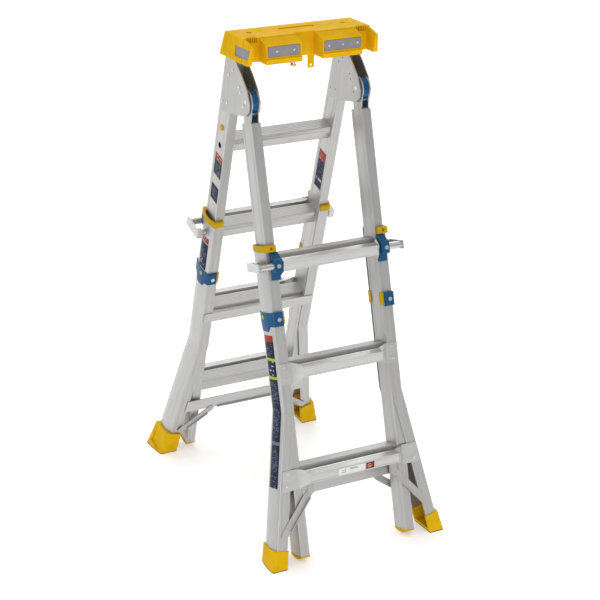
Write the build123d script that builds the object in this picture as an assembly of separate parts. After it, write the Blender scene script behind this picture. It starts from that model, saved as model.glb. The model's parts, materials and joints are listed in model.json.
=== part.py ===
from build123d import *
import math
import os

# A four-section telescoping ladder stood as a step ladder. The frame is +Z up, with its origin on the
# floor in the middle of the four feet. The user's side is -Y. Each section is drawn upright first:
# X across, Z along the rails from the floor line, and -Y towards the side that is climbed.

# ---------------------------------------------------------------- driving dimensions (mm, degrees)
RUNG_PITCH = 304.8
FRONT_LEAN = 14.18
REAR_LEAN = 17.64
FOOT_REACH = 450.6      # from the middle to the floor line of either section
TREAD_TILT = 14.2       # makes the outer treads level when the section leans

# inner rails: rounded box section
INNER_X0 = 157.2
INNER_X1 = 186.8
INNER_Y0 = -6.0
INNER_Y1 = 61.0
INNER_WALL = 2.0
HINGE_PLAY = 0.6        # the front rails are this much slimmer on each face, to swing between the plates
FRONT_INNER_TOP = 1260.0
REAR_INNER_TOP = 1470.0
FRONT_CAP_END = 18.0
REAR_CAP_END = 27.0
CAP_SAG = 8.0
CAP_SKIRT = 5.0

# outer rails: open channel with a bowed web, flared below the bend
OUTER_X0 = 157.5
OUTER_X1 = 190.5
OUTER_Y0 = -9.0
OUTER_Y1 = 67.5
OUTER_WALL = 2.5
WEB_BOW = 8.5
OUTER_TOP = 918.0
BEND = 446.0
FLARE = 0.177           # outward shift for each millimetre below the bend

# rungs
INNER_RUNG_TOP = 283.2  # top face of the first inner rung
INNER_RUNG_HEIGHT = 44.0
INNER_RUNG_Y0 = 4.5
INNER_RUNG_Y1 = 54.0
RUNG_WALL = 2.0
OUTER_RUNG_EDGE = 264.8  # front top edge of the first outer rung
RUNG_LIFT = {"front": 0.0, "rear": 10.0}    # the rear section's outer rungs sit this much higher
OUTER_RUNG_FRONT = -38.0
OUTER_RUNG_HEIGHT = 30.0
SHEET = 2.5
PLATE_UP = 15.5
PLATE_DOWN = 43.5
# half length of the straight tread, reach of its pressed ends, and the two outer corners of its plates
RUNG_SPANS = {
    1: (145.5, 25.0, 215.5, 224.5),
    2: (127.0, 24.0, 189.0, 189.0),
    3: (151.0, 5.0, 189.0, 189.0),
}
RIVET_DROPS = (-6.5, 29.3)

# bracing across the flared legs
BAR_SPANS = ((180.0, 222.0, 205.0), (544.0, 576.0, 186.0))   # bottom, top, half length at the top
BAR_THICK = 2.5
FRONT_BRACE = ((230.0, 98.0), (136.0, 211.0), 22.0)     # ends of the strip as (x, z), and its width
BACK_BRACE = ((219.0, 108.0), (122.0, 178.0), 20.0)

# boots: plan at the foot and at the rim as (inner x, outer x, bow, y0, y1)
FOOT_PLANS = {"front": (155.5, 203.0, 3.0, -11.5, 71.0), "rear": (155.0, 214.0, 2.0, -22.0, 84.0)}
RIM_PLANS = {"front": (154.5, 195.0, 6.0, -12.5, 71.0), "rear": (154.0, 202.0, 2.5, -12.6, 71.0)}
# a point on the slanted plane the rim is cut along, and the plane's normal
RIM_CUTS = {
    "front": ((225.0, -12.5, 50.0), (-0.18, -0.13, 1.0)),
    "rear": ((220.0, 71.0, 90.0), (-0.26, -0.19, 1.0)),
}
RIM_REACH = 125.0
BELOW_FLOOR = -60.0     # flared shapes are drawn down to here and trimmed at the floor
BOOT_WALL = 5.2
BOOT_FLOOR = 11.0
SOLE = 2.5

# plastic fittings on the outer rails
GUIDE_BOTTOM = 903.0
GUIDE_TOP = 922.0
GUIDE_X0 = 161.8
GUIDE_FRONT = 12.0      # how far the top guide stands out from the front flange
GUIDE_SKIN = 1.4
CLAMP_BOTTOM = 693.0
CLAMP_TOP = 733.0
CLAMP_X0 = 162.5
CLAMP_FRONT = 11.0
CLAMP_BACK = 6.0
CLAMP_SKIN = 1.8
CLAMP_TONGUE = 14.0
CLAMP_BOLT_X = 176.7
CLAMP_WINDOW = 9.0
TAB_X0 = 155.0
TAB_X1 = 156.7

# locks between inner and outer sections
LOCK_HEIGHT = 865.0
LOCK_FRONT_Y = -30.0
LOCK_PIN_Y = 29.0
LOCK_BAR_X0 = 222.5
LOCK_BAR_X1 = 230.0
LOCK_BAR_HALF = 12.0
LOCK_LEG_RADIUS = 10.5
LOCK_PIN_RADIUS = 8.0
LOCK_PIN_TIP = 188.2
LOCK_LEG_TIP = 171.8
LOCK_HOLE_RADIUS = 9.5
BRACKET_X0 = 156.6
BRACKET_X1 = 180.5
BRACKET_REACH = 32.0
BRACKET_BOLT_X = 170.0

# hinge between the two inner sections, in the front section's own frame
PIVOT_Y = 12.5
PIVOT_Z = 1319.5
PIN_RADIUS = 6.0
RUNNING_FIT = 0.05
HUB_RADIUS = 33.0
HINGE_PLATE = 3.0
PLATE_OUTLINE = [
    (1, 1400), (-52, 1400), (-62, 1372), (-92, 1347), (-126, 1311),
    (-143, 1276), (-137, 1250), (-117, 1236), (-60, 1226), (56, 1214),
]
PLATE_RIVETS = [
    (-37, 1348), (-77, 1310), (-86, 1296), (-104, 1262), (5, 1246), (38, 1243), (-10, 1330),
]

# tray
TRAY_BOTTOM = 1385.0
TRAY_TOP = 1452.0
TRAY_SKIN = 4.0
EAR_X0 = 186.5
EAR_X1 = 198.0
BLOCK_ROOT = -104.0     # front wall of the tray between the blocks
BLOCK_FACE = -161.0
# left end and right end of each block along X, and the same for the pad on it
BLOCKS = ((-146.0, -38.0, -140.0, -44.0), (26.0, 148.0, 31.0, 144.0))
PAD_BOTTOM = 1405.0
PAD_HEIGHT = 28.0
PAD_THICK = 3.0
EAR_PAD = ((-76, 1400), (-152, 1400), (-163, 1428), (-76, 1428))
TRAY_HOLES = ((-145, -49, 9), (145, -49, 9), (-111, -41, 5), (111, -41, 5), (-35, -56, 5), (35, -56, 5))
COMB_SLOTS = 6
COMB_PITCH = 5.4

RIVET_SHANK = 2.4
RIVET_HEAD = 5.0


# ---------------------------------------------------------------- helpers
def slab(points, x0, x1):
    """A (y, z) outline drawn out along X from x0 to x1."""
    wire = Polyline([(x0, y, z) for y, z in points], close=True)
    return extrude(make_face(wire), x1 - x0, dir=(1, 0, 0))


def panel(points, y0, y1):
    """An (x, z) outline drawn out along Y from y0 to y1."""
    wire = Polyline([(x, y0, z) for x, z in points], close=True)
    return extrude(make_face(wire), y1 - y0, dir=(0, 1, 0))


def block(x0, x1, y0, y1, z0, z1):
    return Pos((x0 + x1) / 2, (y0 + y1) / 2, (z0 + z1) / 2) * Box(x1 - x0, y1 - y0, z1 - z0)


def rod_x(radius, x0, x1, y, z):
    return Pos((x0 + x1) / 2, y, z) * Rot(0, 90, 0) * Cylinder(radius, x1 - x0)


def rod_y(radius, y0, y1, x, z):
    return Pos(x, (y0 + y1) / 2, z) * Rot(90, 0, 0) * Cylinder(radius, y1 - y0)


def front(shape):
    """Stand an upright shape in the front section."""
    return Pos(0, -FOOT_REACH, 0) * Rot(-FRONT_LEAN, 0, 0) * shape


def rear(shape):
    """Stand an upright shape in the rear section, which faces the other way."""
    return Pos(0, FOOT_REACH, 0) * Rot(REAR_LEAN, 0, 0) * Rot(0, 0, 180) * shape


def handed(shape, side):
    """Shapes are drawn on the +X side and mirrored for the other one."""
    return shape if side > 0 else mirror(shape, Plane.YZ)


def group(shapes):
    """Several separate solids in one node."""
    solids = [s for shape in shapes for s in shape.solids()]
    return Compound(solids)


def save(name, shape):
    export_step(shape, f"parts/{name}.step")


def bowed(x0, x1, bow, y0, y1):
    """Rectangle from x0 to x1 whose far side is bowed outwards."""
    edges = [
        Line((x0, y0), (x1, y0)),
        ThreePointArc((x1, y0), (x1 + bow, (y0 + y1) / 2), (x1, y1)),
        Line((x1, y1), (x0, y1)),
        Line((x0, y1), (x0, y0)),
    ]
    return make_face(edges)


def flared(profile, bottom, top):
    """Draw a rail profile straight down from top to the bend, then slanting outwards to bottom."""
    parts = []
    if top > BEND:
        parts.append(Pos(0, 0, max(bottom, BEND)) * extrude(profile, top - max(bottom, BEND)))
    if bottom < BEND:
        z1 = min(top, BEND)
        shift = FLARE * (BEND - z1)
        slant = math.hypot(1, FLARE)
        leg = extrude(profile, (z1 - bottom) * slant, dir=Vector(FLARE, 0, -1).normalized())
        parts.append(Pos(shift, 0, z1) * leg)
    return parts[0] if len(parts) == 1 else parts[0] + parts[1]


def flare_shift(z):
    return FLARE * max(0.0, BEND - z)


def above(shape, height):
    """Keep what stands above a global height."""
    return shape - block(-600, 600, -900, 900, height - 400, height)


def rivet_y(x, z, y_face, y_back):
    """Rivet through a flange: a low dome outside, flush inside where the inner rail slides past."""
    dome = Pos(x, y_face - 1.0, z) * Rot(90, 0, 0) * Cylinder(RIVET_HEAD, 2.0)
    dome = fillet(dome.edges().group_by(Axis.Y)[0], 1.2)
    return dome + rod_y(RIVET_SHANK, y_face, y_back, x, z)


# ---------------------------------------------------------------- inner sections
def inner_rail(play, bottom, top, lock_heights):
    x0 = INNER_X0 + play
    x1 = INNER_X1 - play
    width = x1 - x0
    depth = INNER_Y1 - INNER_Y0
    middle = Pos((x0 + x1) / 2, (INNER_Y0 + INNER_Y1) / 2)
    profile = middle * RectangleRounded(width, depth, 2.0)
    cavity = middle * RectangleRounded(width - 2 * INNER_WALL, depth - 2 * INNER_WALL, 0.8)
    profile -= cavity
    for y in (INNER_Y0 + 14, INNER_Y1 - 14):
        for x in (x0, x1):
            profile -= Pos(x, y) * Rectangle(1.0, 2.4)
    for x in (x0 + 9, x1 - 9):
        profile -= Pos(x, INNER_Y0) * Rectangle(2.0, 1.0)
        profile -= Pos(x, INNER_Y1) * Rectangle(2.0, 1.0)
    rail = Pos(0, 0, bottom) * extrude(profile, top - bottom)
    for z in lock_heights:
        rail -= rod_x(LOCK_HOLE_RADIUS, x0 - 5, x1 + 5, LOCK_PIN_Y, z)
    return rail


def inner_end_cap(play, end):
    """Plug in the foot of a rail, with a rounded tread that hangs below it."""
    x0 = INNER_X0 + play
    x1 = INNER_X1 - play
    middle = (INNER_Y0 + INNER_Y1) / 2
    top = end + CAP_SKIRT
    outline = [
        Line((0, INNER_Y0, top), (0, INNER_Y0, end)),
        ThreePointArc((0, INNER_Y0, end), (0, middle, end - CAP_SAG), (0, INNER_Y1, end)),
        Line((0, INNER_Y1, end), (0, INNER_Y1, top)),
        Line((0, INNER_Y1, top), (0, INNER_Y0, top)),
    ]
    tread = Pos(x0, 0, 0) * extrude(make_face(outline), x1 - x0, dir=(1, 0, 0))
    plug = block(x0 + 3, x1 - 3, INNER_Y0 + 3, INNER_Y1 - 3, top, top + 16)
    return tread + plug


def inner_rung(number, play):
    top = INNER_RUNG_TOP + (number - 1) * RUNG_PITCH
    base = top - INNER_RUNG_HEIGHT
    outline = [
        (INNER_RUNG_Y0, top),
        (INNER_RUNG_Y1, top),
        (INNER_RUNG_Y1, top - 15),
        (INNER_RUNG_Y1 - 9, base),
        (INNER_RUNG_Y0 + 9, base),
        (INNER_RUNG_Y0, top - 15),
    ]
    hollow = [
        (INNER_RUNG_Y0 + RUNG_WALL, top - RUNG_WALL),
        (INNER_RUNG_Y1 - RUNG_WALL, top - RUNG_WALL),
        (INNER_RUNG_Y1 - RUNG_WALL, top - 15),
        (INNER_RUNG_Y1 - 10.5, base + RUNG_WALL),
        (INNER_RUNG_Y0 + 10.5, base + RUNG_WALL),
        (INNER_RUNG_Y0 + RUNG_WALL, top - 15),
    ]
    x = INNER_X0 + play
    rung = slab(outline, -x, x)
    rung = fillet(rung.edges().filter_by(Axis.X), 1.6)
    for step in range(6):
        y = INNER_RUNG_Y0 + 5.5 + step * 7.7
        rung += block(-x, x, y - 1.2, y + 1.2, top - 0.5, top + 0.6)
    for z in (top - 5, top - 13):
        rung += block(-x, x, INNER_RUNG_Y0 - 0.7, INNER_RUNG_Y0 + 0.5, z - 0.9, z + 0.9)
        rung += block(-x, x, INNER_RUNG_Y1 - 0.5, INNER_RUNG_Y1 + 0.7, z - 0.9, z + 0.9)
    return rung - slab(hollow, -x - 1, x + 1)


# ---------------------------------------------------------------- outer sections
def outer_rail():
    profile = bowed(OUTER_X0, OUTER_X1, WEB_BOW, OUTER_Y0, OUTER_Y1)
    profile = fillet(profile.vertices().sort_by(Axis.X)[2:], 3.0)
    cavity = bowed(
        OUTER_X0 - 9, OUTER_X1 - OUTER_WALL, WEB_BOW, OUTER_Y0 + OUTER_WALL, OUTER_Y1 - OUTER_WALL
    )
    profile -= cavity
    for x in (OUTER_X0 + 8, OUTER_X0 + 24):
        profile -= Pos(x, OUTER_Y0) * Rectangle(2.2, 1.2)
        profile -= Pos(x, OUTER_Y1) * Rectangle(2.2, 1.2)
    rail = flared(profile, BELOW_FLOOR, OUTER_TOP)
    return rail - rod_x(LOCK_HOLE_RADIUS, 185, 215, LOCK_PIN_Y, LOCK_HEIGHT)


def rung_edge(name, number):
    return OUTER_RUNG_EDGE + RUNG_LIFT[name] + (number - 1) * RUNG_PITCH


def rivet_points(name, number):
    """Where the plate of an outer rung is riveted to the flange."""
    edge = rung_edge(name, number)
    points = []
    for drop in RIVET_DROPS:
        z = edge - drop
        points.append((171.7 + flare_shift(z) * 0.94, z))
    return points


def outer_rung(name, number):
    straight, reach, corner_top, corner_bottom = RUNG_SPANS[number]
    edge = rung_edge(name, number)
    sine = math.sin(math.radians(TREAD_TILT))
    cosine = math.cos(math.radians(TREAD_TILT))
    back = OUTER_Y0 - SHEET
    depth = (back - OUTER_RUNG_FRONT) / cosine
    rise = edge + depth * sine

    def at(u, v):
        return (back - u * cosine - v * sine, rise - u * sine + v * cosine)

    height = OUTER_RUNG_HEIGHT
    inner = SHEET
    channel = [
        at(0, 0),
        at(depth, 0),
        at(depth, -height),
        at(depth - 19, -height),
        at(depth - 19, inner - height),
        at(depth - inner, inner - height),
        at(depth - inner, -inner),
        at(0, -inner),
    ]
    rung = slab(channel, -straight, straight)
    for step in range(4):
        u = 4.5 + step * 6.0
        rung += slab([at(u, -0.5), at(u + 2.2, -0.5), at(u + 2.2, 0.7), at(u, 0.7)], -straight, straight)
    for v in (-4.5, -height + 4.0):
        ridge = [at(depth - 0.5, v), at(depth + 0.8, v), at(depth + 0.8, v - 1.8), at(depth - 0.5, v - 1.8)]
        rung += slab(ridge, -straight, straight)

    top = edge + PLATE_UP
    base = edge - PLATE_DOWN
    wide = [at(0, 0), at(depth, 0), at(depth, -height), at(0, -height)]
    flat = [(OUTER_Y0, top), (back, top), (back, base), (OUTER_Y0, base)]
    wide_inside = [
        at(-6, -inner),
        at(depth - inner, -inner),
        at(depth - inner, inner - height),
        at(-6, inner - height),
    ]
    flat_inside = [
        (OUTER_Y0 + 2, top - inner),
        (OUTER_Y0, top - inner),
        (OUTER_Y0, base + inner),
        (OUTER_Y0 + 2, base + inner),
    ]
    end = straight + reach

    def ruled(a, b, x0, x1):
        near = Polyline([(x0, y, z) for y, z in a], close=True)
        far = Polyline([(x1, y, z) for y, z in b], close=True)
        return loft([make_face(near), make_face(far)], ruled=True)

    pressed = ruled(wide, flat, straight, end) - ruled(wide_inside, flat_inside, straight, end)
    plate = panel([(end, top), (corner_top, top), (corner_bottom, base), (end, base)], back, OUTER_Y0)
    for x, z in rivet_points(name, number):
        plate -= rod_y(RIVET_SHANK, back - 5, OUTER_Y0 + 5, x, z)
    ending = pressed + plate
    return rung + ending + mirror(ending, Plane.YZ)


def boot_profile(inner, outer, bow, y0, y1, z):
    """Plan of a boot at one height along the flared leg."""
    face = bowed(inner, outer, bow, y0, y1)
    face = fillet(face.vertices().sort_by(Axis.X)[2:], 4.5)
    return Pos(flare_shift(z), 0, z) * face


def boot_shell(name):
    """Boot round the foot of a flared rail, drawn past the floor and trimmed later."""
    foot = FOOT_PLANS[name]
    rim_point, rim_normal = RIM_CUTS[name]
    plans = [boot_profile(*foot, BELOW_FLOOR / 2), boot_profile(*RIM_PLANS[name], RIM_REACH)]
    shell = loft(plans, ruled=True)
    cut = Plane(origin=rim_point, z_dir=Vector(rim_normal).normalized())
    shell = split(shell, bisect_by=cut, keep=Keep.BOTTOM)
    if name == "rear":
        dish = Pos(foot[1] + 6, 29) * Rectangle(28, 58)
        shell -= flared(dish, 20, 84)
    hollow = bowed(
        OUTER_X0 - 20, OUTER_X1 - BOOT_WALL, WEB_BOW, OUTER_Y0 + BOOT_WALL, OUTER_Y1 - BOOT_WALL
    )
    return shell, flared(hollow, BELOW_FLOOR, RIM_REACH)


def boots_and_soles(name, place, rail):
    shell, cavity = boot_shell(name)
    boots = []
    soles = []
    for side in (-1, 1):
        body = above(place(handed(shell, side)), 0)
        hollow = above(place(handed(cavity, side)), BOOT_FLOOR)
        foot = above(place(handed(rail, side)), BOOT_FLOOR)
        lower = body & block(-600, 600, -900, 900, -1, SOLE)
        boots.append(above(body, SOLE) - hollow - foot)
        soles.append(lower)
    return boots, soles


def top_guide(rail):
    """Plastic band round the top of the channel, thick in front and open towards the inner rail."""
    outer = bowed(GUIDE_X0, OUTER_X1 + GUIDE_SKIN, WEB_BOW, OUTER_Y0 - GUIDE_FRONT, OUTER_Y1 + 3.0)
    outer = fillet(outer.vertices().sort_by(Axis.X)[2:], 3.0)
    passage = bowed(GUIDE_X0 - 20, INNER_X1 + 1.1, WEB_BOW + 0.6, INNER_Y0 - 0.5, INNER_Y1 + 0.5)
    collar = Pos(0, 0, GUIDE_BOTTOM) * extrude(outer - passage, GUIDE_TOP - GUIDE_BOTTOM)
    front_edges = collar.edges().filter_by(Axis.X).group_by(Axis.Y)[0]
    collar = fillet(front_edges, 2.0)
    middle = (GUIDE_BOTTOM + GUIDE_TOP) / 2
    face = OUTER_Y0 - GUIDE_FRONT
    return collar - rail - rod_y(3.0, face - 5, face + 1.5, CLAMP_BOLT_X, middle)


def lower_clamp(rail):
    """Band round the channel, with a thick jaw on each flange and a tongue down the web."""
    outer = bowed(CLAMP_X0, OUTER_X1 + CLAMP_SKIN, WEB_BOW, OUTER_Y0 - CLAMP_SKIN, OUTER_Y1 + CLAMP_SKIN)
    outer = fillet(outer.vertices().sort_by(Axis.X)[2:], 4.5)
    hollow = bowed(OUTER_X0 - 20, OUTER_X1 - 1, WEB_BOW, OUTER_Y0 + 1, OUTER_Y1 - 1)
    skin = outer - hollow
    band = Pos(0, 0, CLAMP_BOTTOM) * extrude(skin, CLAMP_TOP - CLAMP_BOTTOM)
    tip = CLAMP_BOTTOM - CLAMP_TONGUE
    tongue = Pos(0, 0, tip) * extrude(skin, CLAMP_TONGUE + 1)
    taper = slab([(12, tip), (50, tip), (60, CLAMP_BOTTOM + 2), (3, CLAMP_BOTTOM + 2)], 190, 215)
    for y0, y1 in ((OUTER_Y0 - CLAMP_FRONT, OUTER_Y0 + 0.5), (OUTER_Y1 - 0.5, OUTER_Y1 + CLAMP_BACK)):
        jaw = block(CLAMP_X0, OUTER_X1 + 1.0, y0, y1, CLAMP_BOTTOM, CLAMP_TOP)
        far = jaw.edges().group_by(Axis.Y)[0 if y0 < 0 else -1]
        band += fillet(far, 2.5)
    window = rod_x(CLAMP_WINDOW, 196, 215, LOCK_PIN_Y + 8, CLAMP_TOP - 15)
    clamp = band + (tongue & taper) - window - rail
    middle = (CLAMP_BOTTOM + CLAMP_TOP) / 2
    for y0, y1 in ((OUTER_Y0 - CLAMP_FRONT - 1, OUTER_Y0), (OUTER_Y1, OUTER_Y1 + CLAMP_BACK + 1)):
        clamp -= rod_y(3.0, y0, y1, CLAMP_BOLT_X, middle)
    return clamp


def guide_pad(rail):
    """Yellow liner whose thin fingers show at both free edges of the channel beside the clamp."""
    z0 = CLAMP_BOTTOM + 4
    z1 = CLAMP_TOP
    fore = block(TAB_X0, TAB_X1, OUTER_Y0 - CLAMP_SKIN, 2.8, z0, z1)
    fore += block(TAB_X0, CLAMP_X0 - 0.1, OUTER_Y0 - CLAMP_SKIN, OUTER_Y0, z0, z1)
    aft = block(TAB_X0, TAB_X1, 55.8, OUTER_Y1 + CLAMP_SKIN, z0, z1)
    aft += block(TAB_X0, CLAMP_X0 - 0.1, OUTER_Y1, OUTER_Y1 + CLAMP_SKIN, z0, z1)
    return [fore - rail, aft - rail]


def lock_bracket(name):
    """Housing on the flange that carries the front leg of the lock handle, over the top rung's plate."""
    edge = rung_edge(name, 3)
    back = OUTER_Y0 - SHEET
    face = back - BRACKET_REACH
    z = LOCK_HEIGHT
    lobes = slab(
        [
            (back, z + 36),
            (back - 4, z + 36),
            (back - 22, z + 22),
            (face, z + 17),
            (face, z - 17),
            (back - 12, z - 19),
            (back - 9, z - 41),
            (back, z - 41),
        ],
        BRACKET_X0,
        BRACKET_X1,
    )
    lobes = fillet(lobes.edges().filter_by(Axis.X).group_by(Axis.Y)[0], 2.0)
    lobes += block(BRACKET_X0, BRACKET_X1, back, OUTER_Y0, z - 41, edge - PLATE_DOWN - 0.4)
    lobes -= rod_x(LOCK_LEG_RADIUS + 0.5, BRACKET_X0 + 2.5, BRACKET_X1 + 5, LOCK_FRONT_Y, LOCK_HEIGHT)
    for x, height in rivet_points(name, 3):
        lobes -= rod_y(RIVET_HEAD + 0.8, back - 3, back + 1, x, height)
    lobes -= rod_y(3.0, face - 8, face + 1.5, BRACKET_BOLT_X, z)
    return lobes


def lock_handle():
    """Square-cornered U: a round leg into the bracket, a flat bar, and a block with the lock pin."""
    half = LOCK_BAR_HALF
    low = LOCK_HEIGHT - half
    high = LOCK_HEIGHT + half
    bar = block(LOCK_BAR_X0, LOCK_BAR_X1, LOCK_FRONT_Y - 10, LOCK_PIN_Y + half, low, high)
    bar += block(211.5, LOCK_BAR_X1, LOCK_PIN_Y - 7, LOCK_PIN_Y + half, low, high)
    corners = bar.edges().filter_by(Axis.Z).group_by(Axis.X)[-1]
    bar = fillet(corners, 3.0)
    leg = rod_x(LOCK_LEG_RADIUS, LOCK_LEG_TIP, LOCK_BAR_X0 + 1, LOCK_FRONT_Y, LOCK_HEIGHT)
    pin = rod_x(LOCK_PIN_RADIUS, LOCK_PIN_TIP, 212.0, LOCK_PIN_Y, LOCK_HEIGHT)
    return bar + leg + fillet(pin.edges().group_by(Axis.X)[0], 1.5)


def brace_bars():
    """Flat bars across the back flanges; the lower one has a turned edge between the braces."""
    back = OUTER_Y1 + BAR_THICK
    bars = []
    for bottom, top, half in BAR_SPANS:
        spread = flare_shift(bottom) - flare_shift(top)
        points = [(-half, top), (half, top), (half + spread, bottom), (-half - spread, bottom)]
        bars.append(panel(points, OUTER_Y1, back))
    base = BAR_SPANS[0][0]
    bars[0] += block(-100, 100, back, back + 5.5, base, base + BAR_THICK)
    return bars


def strut(start, end, width, y0, y1, lip):
    """Flat strip between two (x, z) points, with one edge turned up for stiffness."""
    dx = end[0] - start[0]
    dz = end[1] - start[1]
    length = math.hypot(dx, dz)
    across = (-dz / length * width / 2, dx / length * width / 2)
    along = (dx / length * 10, dz / length * 10)
    outline = [
        (start[0] - along[0] + across[0] * 0.6, start[1] - along[1] + across[1] * 0.6),
        (start[0] + across[0], start[1] + across[1]),
        (end[0] + across[0], end[1] + across[1]),
        (end[0] + along[0] + across[0] * 0.6, end[1] + along[1] + across[1] * 0.6),
        (end[0] + along[0] - across[0] * 0.6, end[1] + along[1] - across[1] * 0.6),
        (end[0] - across[0], end[1] - across[1]),
        (start[0] - across[0], start[1] - across[1]),
        (start[0] - along[0] - across[0] * 0.6, start[1] - along[1] - across[1] * 0.6),
    ]
    strip = panel(outline, y0, y1)
    inset = 18 / length
    near = (start[0] + dx * inset, start[1] + dz * inset)
    far = (end[0] - dx * inset, end[1] - dz * inset)
    rim = [
        (near[0] + across[0], near[1] + across[1]),
        (far[0] + across[0], far[1] + across[1]),
        (far[0] + across[0] * 0.78, far[1] + across[1] * 0.78),
        (near[0] + across[0] * 0.78, near[1] + across[1] * 0.78),
    ]
    depth = min(y0, y1) - lip if lip > 0 else max(y0, y1) - lip
    face = min(y0, y1) if lip > 0 else max(y0, y1)
    return strip + panel(rim, min(depth, face), max(depth, face))


def front_brace():
    return strut(*FRONT_BRACE, OUTER_Y0 - 2.5, OUTER_Y0, 6.0)


def back_brace():
    return strut(*BACK_BRACE, OUTER_Y1 + BAR_THICK, OUTER_Y1 + BAR_THICK + 2.5, -4.0)


def rung_bracket(name):
    """Small angle that ties the front brace to the rung's lower flange."""
    return block(126, 146, OUTER_Y0 - 5.0, OUTER_Y0 - 2.5, 202, rung_edge(name, 1) - 25.3)


# ---------------------------------------------------------------- hinge
def hinge_arm(x0, x1):
    neck = [(1, 1200), (47, 1200), (47, 1272), (42, 1302), (-13, 1302), (-6, 1286), (1, 1264)]
    plate = slab(neck, x0, x1) + rod_x(HUB_RADIUS + 0.5, x0, x1, PIVOT_Y, PIVOT_Z)
    return plate - rod_x(PIN_RADIUS + RUNNING_FIT, x0 - 1, x1 + 1, PIVOT_Y, PIVOT_Z)


def hinge_hub(x0, x1):
    hub = rod_x(HUB_RADIUS - 0.5, x0, x1, PIVOT_Y, PIVOT_Z)
    hub = fillet(hub.edges().filter_by(GeomType.CIRCLE), 1.2)
    for turn in range(5):
        angle = math.radians(150 + turn * 14)
        y = PIVOT_Y + HUB_RADIUS * math.cos(angle)
        z = PIVOT_Z + HUB_RADIUS * math.sin(angle)
        hub -= rod_x(1.1, x0 + 3, x1 - 3, y, z)
    return hub - rod_x(PIN_RADIUS + RUNNING_FIT, x0 - 1, x1 + 1, PIVOT_Y, PIVOT_Z)


def hinge_release(x0, x1):
    """Thumb slide under the hub."""
    outline = [(2, 1262), (20, 1262), (20, 1281), (12, 1282), (0, 1282), (-2, 1277), (-2, 1271), (2, 1268)]
    body = slab(outline, x0, x1)
    for step in range(3):
        body -= block(x0 + 2, x1 - 2, -8, -0.8, 1271.5 + step * 3, 1273 + step * 3)
    return body


def pivot_line():
    """The pivot's place in the global frame."""
    lean = math.radians(FRONT_LEAN)
    y = PIVOT_Y * math.cos(lean) + PIVOT_Z * math.sin(lean) - FOOT_REACH
    z = -PIVOT_Y * math.sin(lean) + PIVOT_Z * math.cos(lean)
    return y, z


def hinge_plate(x0, x1):
    plate = slab(PLATE_OUTLINE, x0, x1)
    soft = [e for e in plate.edges().filter_by(Axis.X) if e.center().Z < 1390 and e.center().Y < -60]
    plate = fillet(soft, 9.0)
    y, z = pivot_line()
    plate -= rod_x(PIN_RADIUS, x0 - 1, x1 + 1, y, z)
    for y, z in PLATE_RIVETS:
        plate -= rod_x(RIVET_SHANK, x0 - 1, x1 + 1, y, z)
    return plate


def plate_rivet(y, z):
    """Rivet head on the outer hinge plate, with its shank in the plate."""
    x_face = INNER_X1 + HINGE_PLATE
    head = rod_x(4.6, x_face, x_face + 2.0, y, z)
    head = fillet(head.edges().group_by(Axis.X)[-1], 1.2)
    return head + rod_x(RIVET_SHANK, INNER_X1 + 0.3, x_face, y, z)


# ---------------------------------------------------------------- tray
def tray_shell():
    """Drafted body with two blocks in front and an ear at each end, hollow from below."""
    rings = []
    for x, y, z in ((195.5, -1, TRAY_TOP), (203, 22, TRAY_BOTTOM)):
        rings.append(make_face(Polyline([(-x, -118, z), (x, -118, z), (x, y, z), (-x, y, z)], close=True)))
    body = loft(rings, ruled=True)
    body -= block(BLOCKS[0][1], BLOCKS[1][0] + 8, -130, BLOCK_ROOT, TRAY_BOTTOM - 5, TRAY_TOP + 5)
    ear = [(-90, TRAY_BOTTOM), (-155, TRAY_BOTTOM), (-169, 1437), (-112, TRAY_TOP), (-90, TRAY_TOP)]
    nose = [
        (-90, TRAY_BOTTOM),
        (BLOCK_FACE - 3, TRAY_BOTTOM),
        (BLOCK_FACE - 3, 1398),
        (BLOCK_FACE + 1.5, 1399.5),
        (BLOCK_FACE + 1.5, 1401.5),
        (BLOCK_FACE, 1402.5),
        (BLOCK_FACE, 1438),
        (-112, TRAY_TOP),
        (-90, TRAY_TOP),
    ]
    for side in (-1, 1):
        lobe = slab(ear, EAR_X0, EAR_X1 + 4) & wedge_outside()
        cheek = block(150.5, EAR_X0 - 0.5, -125, -117, 1370, 1470)
        body += handed(lobe, side)
        body -= handed(cheek, side)
    for x0, x1, pad_x0, pad_x1 in BLOCKS:
        body += slab(nose, x0, x1)
        recess = BLOCK_FACE + PAD_THICK - 1
        body -= block(pad_x0 - 1, pad_x1 + 1, -170, recess, PAD_BOTTOM - 1, PAD_BOTTOM + PAD_HEIGHT + 1)
    return body


def tray(rails, plates):
    body = tray_shell()
    cave = [(-85, 1370), (-155, 1370), (-155, 1434), (-111, 1447), (-85, 1447)]
    for x0, x1, _, _ in BLOCKS:
        body -= slab(cave, x0 + 4, x1 - 4)
    body -= block(-146, 146, -100, -4, TRAY_BOTTOM - 10, TRAY_TOP - TRAY_SKIN)
    for x, y, radius in TRAY_HOLES:
        body -= Pos(x, y, TRAY_TOP - 5) * Cylinder(radius, 40)
    body -= Pos(0, -48, TRAY_TOP) * extrude(SlotOverall(110, 24), 2.5, both=True)
    for side in (-1, 1):
        for tooth in range(COMB_SLOTS):
            x = side * (155 + tooth * COMB_PITCH)
            body -= block(x - 1.6, x + 1.6, -121, -107, TRAY_TOP - 14, TRAY_TOP + 1)
        body -= handed(ear_pad(-0.6), side)
    for solid in rails + plates:
        body -= solid
    return body


def wedge_outside():
    """Keeps the ears inside the drafted side faces of the tray."""
    outline = [(100, TRAY_BOTTOM - 5), (201.5, TRAY_BOTTOM - 5), (192.4, TRAY_TOP + 5), (100, TRAY_TOP + 5)]
    return panel(outline, -200, 50)


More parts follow.
